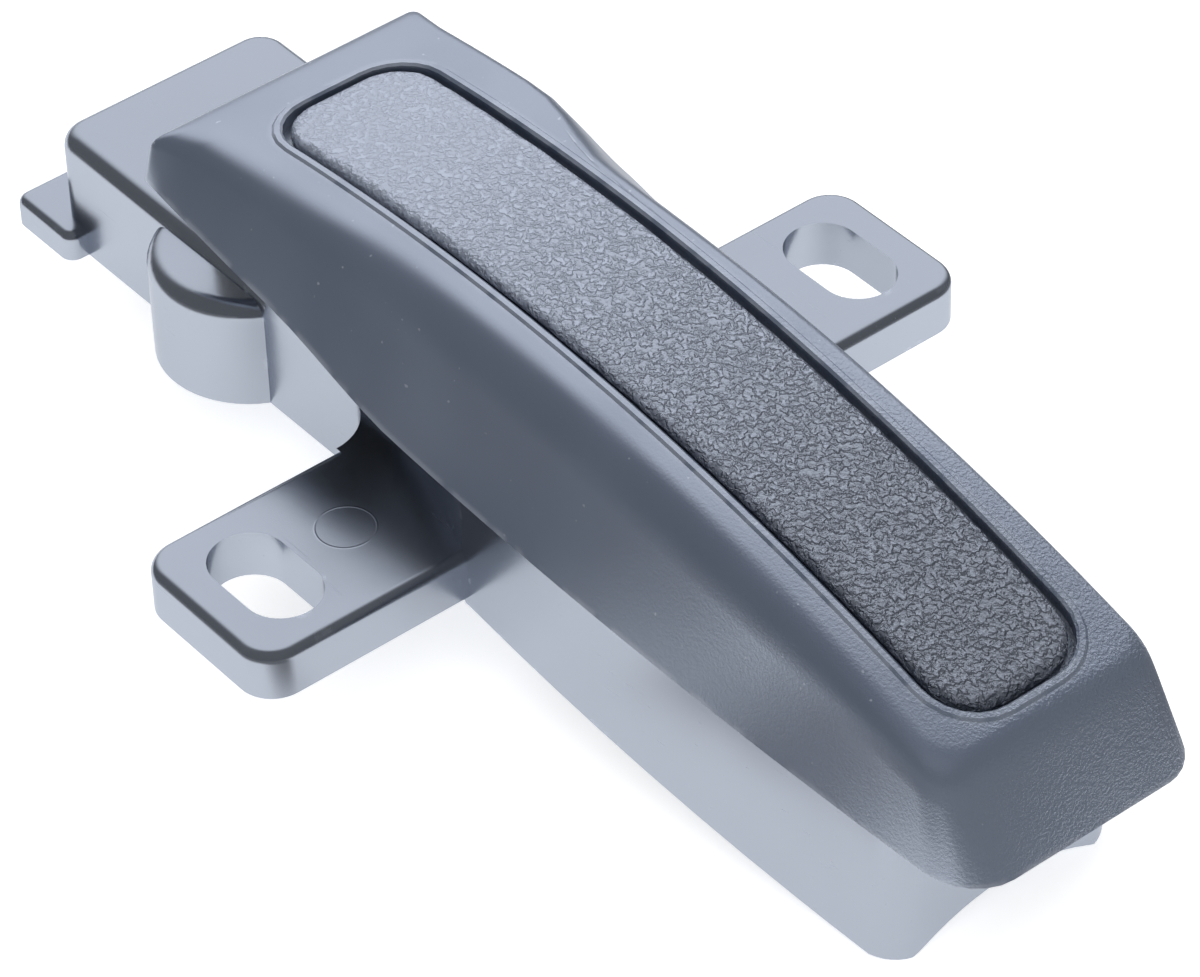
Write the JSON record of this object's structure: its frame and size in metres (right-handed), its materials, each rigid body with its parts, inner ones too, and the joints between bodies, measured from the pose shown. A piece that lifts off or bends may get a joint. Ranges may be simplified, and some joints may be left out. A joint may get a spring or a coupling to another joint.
{
  "type": "interior door handle",
  "caption": "Black paddle door handle: a grained pull lever with a soft pad hinged over a moulded base with two slotted ears, drawing a latch slide against return springs.",
  "frame": {"origin": "middle of the line between the two slots' centres, on the plane of the ears' back faces", "axes": "+X along the handle towards the lever's free end, +Y towards the ear that is farther from the camera in the picture, +Z out of the door towards the hand"},
  "size_m": [0.1208, 0.0732, 0.033],
  "materials": {
    "base_plastic": "smooth moulded, slightly glossy dark blue-grey",
    "grained_plastic": "fine spark-eroded grain, satin dark blue-grey",
    "soft_pad": "leather-grained soft grey",
    "zinc_screw": "zinc plated",
    "bronze_bush": "sintered bronze, oiled",
    "rubber_black": "moulded matt",
    "die_cast": "die-cast zinc, matt grey",
    "steel_pin": "ground steel",
    "pale_nylon": "natural moulded nylon",
    "spring_steel": "drawn spring wire"
  },
  "bodies": {
    "base": {"base_housing": "base_plastic", "bottom_cover": "base_plastic", "bottom_screws": "zinc_screw", "hinge_bush_left": "bronze_bush", "hinge_bush_right": "bronze_bush", "stop_buffer": "rubber_black", "rest_buffer_left": "rubber_black", "rest_buffer_right": "rubber_black", "return_spring_left": "spring_steel", "return_spring_right": "spring_steel"},
    "lever": {"lever_cover": "grained_plastic", "grip_pad": "soft_pad", "lever_carrier": "die_cast", "carrier_screws": "zinc_screw", "hinge_pin": "steel_pin", "pin_clips": "steel_pin", "drive_pin": "steel_pin"},
    "slide": {"draw_slide": "pale_nylon"},
    "plunger_left": {"return_plunger_left": "pale_nylon"},
    "plunger_right": {"return_plunger_right": "pale_nylon"}
  },
  "joints": [
    {"name": "lever_hinge", "type": "hinge", "parent": "base", "child": "lever", "pos_m": [-0.02, 0, 0.0125], "axis": [0, -1, 0], "range_deg": [0, 24]},
    {"name": "slide_draw", "type": "slide", "parent": "base", "child": "slide", "axis": [1, 0, 0], "range_m": [0, 0.0045]},
    {"name": "plunger_left_press", "type": "slide", "parent": "base", "child": "plunger_left", "axis": [0, 0, -1], "range_m": [0, 0.0057], "stiffness_N_per_m": 300, "springref_m": -0.004, "deforming": ["return_spring_left"]},
    {"name": "plunger_right_press", "type": "slide", "parent": "base", "child": "plunger_right", "axis": [0, 0, -1], "range_m": [0, 0.0057], "stiffness_N_per_m": 300, "springref_m": -0.004, "deforming": ["return_spring_right"]}
  ],
  "couplings": [
    {"joint": "slide_draw", "follows": "lever_hinge", "m_per_rad": 0.0107},
    {"joint": "plunger_left_press", "follows": "lever_hinge", "m_per_rad": 0.0134},
    {"joint": "plunger_right_press", "follows": "lever_hinge", "m_per_rad": 0.0134}
  ]
}
